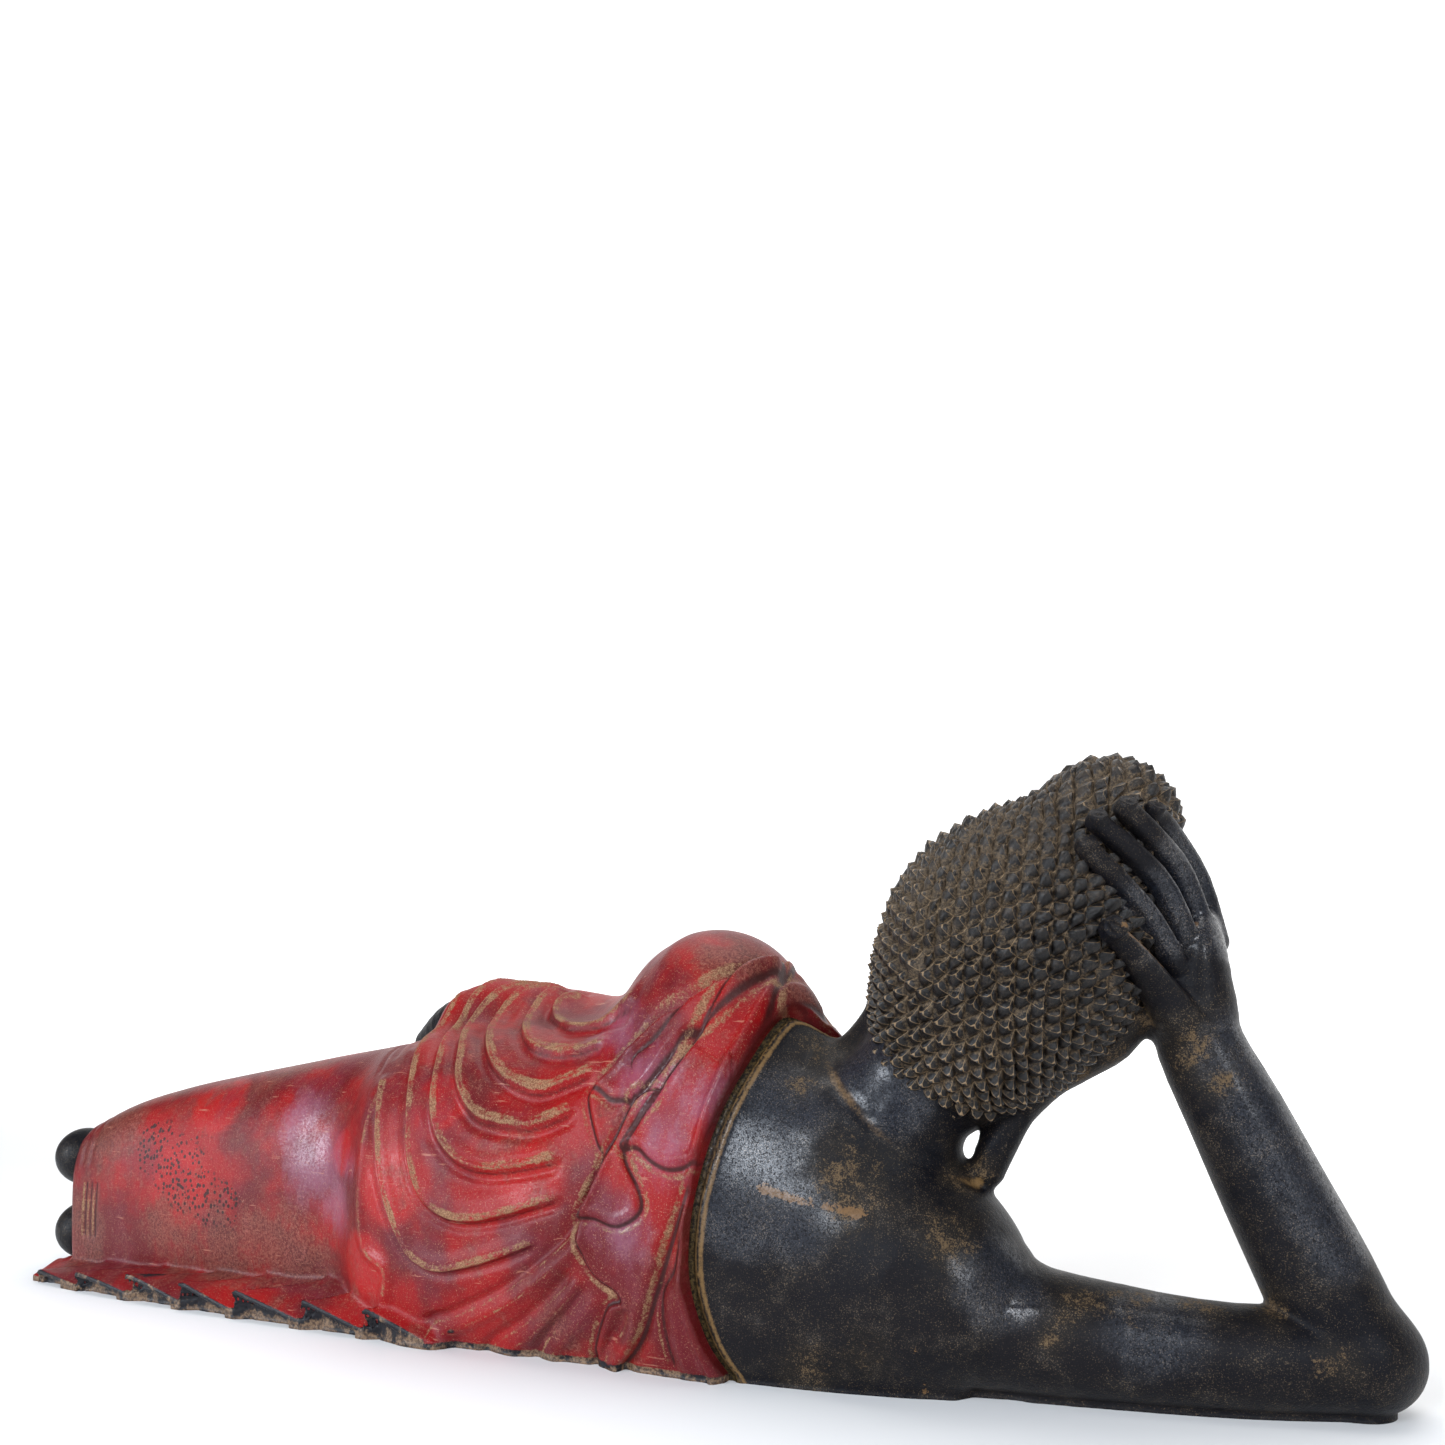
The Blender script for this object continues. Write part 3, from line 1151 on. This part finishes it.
def curl_rows():
    """Ways to the dips between the curls, in level rows round the head."""
    pitch = CURL_PITCH / PART
    slope = np.linspace(0.03, math.pi - 0.03, 140)
    turn = np.linspace(0, 2 * math.pi, 181)
    ways = np.stack([np.outer(np.sin(slope), np.sin(turn)), -np.outer(np.sin(slope), np.cos(turn)),
                     np.outer(np.cos(slope), np.ones_like(turn))], -1)
    reach = skull_radius(ways.reshape(-1, 3)).reshape(ways.shape[:2])
    places = ways * reach[:, :, None]
    down_back = length_along(places[:, 0])
    rows = []
    for number, distance in enumerate(np.arange(0.5, down_back[-1] / (ROW_PITCH * pitch), 1)):
        angle = np.interp(distance * ROW_PITCH * pitch, down_back, slope)
        ring = np.stack([np.interp(angle, slope, line) for line in places.reshape(len(slope), -1).T])
        ring = ring.reshape(-1, 3)
        along = length_along(ring)
        count = max(3, round(along[-1] / pitch))
        at = (np.arange(count) + 0.5 * (number % 2)) / count * along[-1]
        row = np.stack([np.interp(at, along, ring[:, axis]) for axis in range(3)], -1)
        rows.append(row / np.linalg.norm(row, axis=1)[:, None])
    return rows


def curl_layout():
    """Ways to the dips and the tips, and the four faces of every curl."""
    rows = curl_rows()
    dips = np.vstack(rows)
    tips, tip_on = [], {}
    first = 0
    for row in rows:
        for k in range(len(row)):
            a, b = first + k, first + (k + 1) % len(row)
            tip_on[frozenset((a, b))] = len(dips) + len(tips)
            tips.append(dips[a] + dips[b])
        first += len(row)
    tips = np.array(tips)
    tips /= np.linalg.norm(tips, axis=1)[:, None]
    faces = []
    for triangle in hull_triangles(dips):
        outline = []
        for k in range(3):
            tip = tip_on.get(frozenset((triangle[k], triangle[(k + 1) % 3])))
            outline += [triangle[k]] if tip is None else [triangle[k], tip]
        start = next((k for k, corner in enumerate(outline) if corner >= len(dips)), 0)
        outline = outline[start:] + outline[:start]
        faces += [(outline[0], outline[k], outline[k + 1]) for k in range(1, len(outline) - 1)]
    return dips, tips, faces


FACETS = 4                  # each side of a curl is cut into this many steps
LEAN = 2.2                  # the tips lean towards the crown, in parts
CAP = 0.8                   # between the curls the cap stands this far off the skull
HIDDEN = -14                # under the ears, hand and face it stays inside the head
BEAD = 0.54                 # a curl's radius at its root, as a share of the pitch
POINTED = 0.62              # below 1 a curl swells like a bead before it comes to its point


def steps_over():
    """Shares of a triangle's three corners at the points of a fine grid, and the grid's triangles."""
    n = FACETS
    grid = [(i, j) for i in range(n + 1) for j in range(n + 1 - i)]
    shares = np.array([((n - i - j) / n, i / n, j / n) for i, j in grid])
    small = []
    for i, j in grid:
        for k in (0, 1):
            triangle = [(i + k, j), (i + 1, j + k), (i, j + 1)]
            if set(triangle) <= set(grid):
                small.append([grid.index(place) for place in triangle])
    return shares, np.array(small)


def by_hand(count, spread):
    """Small differences of a hand-cut thing, the same every time."""
    return np.random.default_rng(count).normal(0, spread, (count, 3))


def curl_cap():
    """The cap of curls with the values its finish reads."""
    dips, tips, faces = curl_layout()
    corners = np.vstack([dips, tips])
    corners = corners + by_hand(len(corners), 0.0075)
    corners /= np.linalg.norm(corners, axis=1)[:, None]
    is_tip = np.arange(len(corners)) >= len(dips)
    reach = skull_radius(corners)
    places = HEAD + (corners * reach[:, None]) @ HEAD_AXES
    shown = has_hair(corners * reach[:, None]) & (right_hand(places) > -3)
    shown &= (ear(places, 1) > -2) & (ear(places, -1) > -2)
    faces = np.array(faces)
    shares, small = steps_over()

    def spread(values):
        return (shares * values[faces][:, None]).sum(2)

    ways = np.einsum("mk,nkc->nmc", shares, corners[faces])
    ways /= np.linalg.norm(ways, axis=2)[:, :, None]
    height = CURL_HEIGHT / PART * (1 + by_hand(len(corners), 0.10)[:, 0])
    rise = spread(height * is_tip) / (spread(is_tip) + 1e-9)
    base = spread(np.where(shown, CAP, HIDDEN))
    tip = is_tip[faces]
    far = np.linalg.norm(ways[:, :, None] - corners[faces][:, None], axis=3)
    far = np.where(tip[:, None], far, 9).min(2) * reach[faces].mean(1)[:, None]
    bead = np.clip(1 - far / (BEAD * CURL_PITCH / PART), 0, 1)
    bead = np.minimum(bead, 2.5 * spread(is_tip & shown))
    lift = base + (rise - CAP) * bead ** POINTED
    ways = ways.reshape(-1, 3)
    points = ways * skull_radius(ways)[:, None]
    points += skull_normal(points) * lift.reshape(-1)[:, None]
    crown = point(0, 0, 1) - points * (points[:, 2:] / (points * points).sum(1)[:, None])
    crown /= np.linalg.norm(crown, axis=1)[:, None] + 1e-9
    points += crown * (LEAN * bead.reshape(-1) ** 1.3)[:, None]
    _, less, more = np.moveaxis(np.sort(shares * ~tip[:, None], axis=2), 2, 0)
    ridge = 1 - np.clip(3.2 * (less / (less + more + 1e-9)), 0, 1)
    up = corners[faces][:, :, 2]
    dip_up, tip_up = ((up * kind).sum(1) / np.maximum(kind.sum(1), 1) for kind in (~tip, tip))
    above = np.repeat(dip_up > tip_up, len(small))
    first = np.arange(len(faces)) * len(shares)
    triangles = (first[:, None, None] + small[None]).reshape(-1, 3)
    _, keep, number = np.unique(np.round(points * 40), axis=0, return_index=True, return_inverse=True)
    triangles = number.reshape(-1)[triangles]
    points = HEAD + points[keep] @ HEAD_AXES
    return points, triangles, 1 - bead.reshape(-1)[keep], ridge.reshape(-1)[keep], above


points, triangles, valley, ridge_line, above = curl_cap()
curls_piece = new_piece("curls", points, triangles)
at = head_coords(in_layout(curls_piece))
mark(curls_piece, valley=valley, ridge=ridge_line, brown=ease(-20, 90, at[:, 0] + 0.5 * at[:, 2]))
upper = curls_piece.data.attributes.new("above", "FLOAT", "FACE")
upper.data.foreach_set("value", above.astype(np.float32))
curls_piece.data.set_sharp_from_angle(angle=math.radians(45))


def dusty_black():
    """Black lacquer gone dull: tan dust in the valleys and on upper sides, ridges rubbed bare."""
    material, f, shader = new_finish("dusty_black_lacquer")
    grain, cloud = f.noise(650, 3, 0.7), f.noise(16, 4)
    skin = f.over(grain.steps(0.35, 0.7), colour(8, 8, 11), colour(30, 26, 23))
    smear = f.noise(110, 4, 0.7)
    smeared = (smear * 0.7 + grain * 0.4 + f.value("brown") * 0.1).steps(0.55, 0.72)
    skin = f.over(smeared * 0.6, skin, colour(62, 52, 42))
    valley = f.value("valley")
    dust = valley * 1.1 + f.value("above") * 0.14 + f.value("brown") * 0.3 + (cloud - 0.5) * 0.5 - 0.08
    dust = (dust + (grain - 0.5) * 0.8 + (smear - 0.5) * 0.8).steps(0.84, 1.10)
    tans = f.over(grain.steps(0.4, 0.65), colour(56, 47, 38), colour(108, 91, 70))
    skin = f.over(dust * 0.9, skin, tans)
    line = f.value("ridge").steps(0.76, 1.0) * valley.steps(0.05, 0.3) * f.value("above").steps(0.2, 0.6)
    skin = f.over((line * (grain + cloud * 0.8)).steps(0.35, 0.8) * 0.75, skin, colour(150, 124, 92))
    feed(shader, {
        "Base Color": skin,
        "Roughness": dust * 0.4 + 0.3,
        "Specular IOR Level": 0.3,
        "Normal": uneven(f.noise(600, 4, 0.65), 0.5),
    })
    return material


curls_piece.data.materials.append(dusty_black())
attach(curls_piece, "root")

# Camera and light
# The photo's viewpoint is low and close behind the figure's back, looking level.
# Its light is soft, from a wide bright side on the left behind the viewer and a lesser one on the right.
CAMERA, CAMERA_TURN = (0.5325, -0.9041, 0.2883), 24.5
PHOTO_SIZE, FOCAL_LENGTH, EYE_LEVEL = 1445, 1200, 995   # in the photo's own pixels
camera_data = bpy.data.cameras.new("camera")
camera_data.sensor_width = 36
camera_data.lens = 36 * FOCAL_LENGTH / PHOTO_SIZE
camera_data.shift_y = (EYE_LEVEL - PHOTO_SIZE / 2) / PHOTO_SIZE
camera = add("camera", camera_data)
camera.location = CAMERA
camera.rotation_euler = (math.radians(90), 0, math.radians(CAMERA_TURN))
bpy.context.scene.camera = camera
LIGHTS_AIM = point(0.05, 0, 0.15)


def soft_light(name, place, size, power, tint):
    """A large panel that faces the figure."""
    data = bpy.data.lights.new(name, "AREA")
    data.shape = "RECTANGLE"
    data.size, data.size_y = size
    data.energy, data.color = power, tint
    light = add(name, data)
    light.location = place
    x, y, z = LIGHTS_AIM - point(*place)
    light.rotation_euler = (math.acos(-z / np.linalg.norm((x, y, z))), 0, math.atan2(y, x) - math.pi / 2)


SKYLIGHT = (0.84, 0.91, 1.0)
soft_light("window_left", (-2.0, -2.1, 0.8), (1.2, 1.1), 62, SKYLIGHT)
soft_light("window_behind", (-0.1, -2.5, 1.3), (0.4, 1.3), 42, SKYLIGHT)
soft_light("window_right", (2.0, -1.7, 1.1), (0.3, 1.3), 34, (0.90, 0.94, 1.0))
soft_light("overhead", (0.1, 0.3, 2.4), (2.4, 1.6), 34, (1.0, 1.0, 1.0))

world = bpy.data.worlds.new("studio")
bpy.context.scene.world = world
world.use_nodes = True
background = world.node_tree.nodes["Background"].inputs
background["Color"].default_value = (1, 1, 1, 1)
background["Strength"].default_value = 0.15
bpy.context.scene.view_settings.view_transform = "Standard"

FLOOR_FRONT, FLOOR_BACK, SWEEP, WALL, FLOOR_SIDE = -8.0, 5.0, 3.0, 14.0, 22.0


def studio_floor():
    """A pale floor that sweeps up into a backdrop."""
    turns = [math.radians(90 * k / 24) for k in range(25)]
    line = [(FLOOR_BACK + SWEEP * math.sin(turn), SWEEP * (1 - math.cos(turn))) for turn in turns]
    line = [(FLOOR_FRONT, 0.0), *line, (FLOOR_BACK + SWEEP, WALL)]
    points = [(x, y, z) for y, z in line for x in (-FLOOR_SIDE, FLOOR_SIDE)]
    faces = [(2 * k, 2 * k + 1, 2 * k + 3, 2 * k + 2) for k in range(len(line) - 1)]
    mesh = bpy.data.meshes.new("floor")
    mesh.from_pydata(points, [], faces)
    mesh.shade_smooth()
    floor = add("floor", mesh)
    material, f, shader = new_finish("pale_floor")
    back = f.node("ShaderNodeSeparateXYZ", {0: f.place()}, 1)
    feed(shader, {
        "Base Color": f.over(back.steps(-1.2, -0.5), (0.1, 0.1, 0.1, 1), (0.88, 0.88, 0.88, 1)),
        "Roughness": 0.8,
        "Emission Color": f.over(back.steps(0.1, 2.2), (0, 0, 0, 1), (1, 1, 1, 1)),
        "Emission Strength": 0.92,
    })
    mesh.materials.append(material)
    return floor


studio_floor()
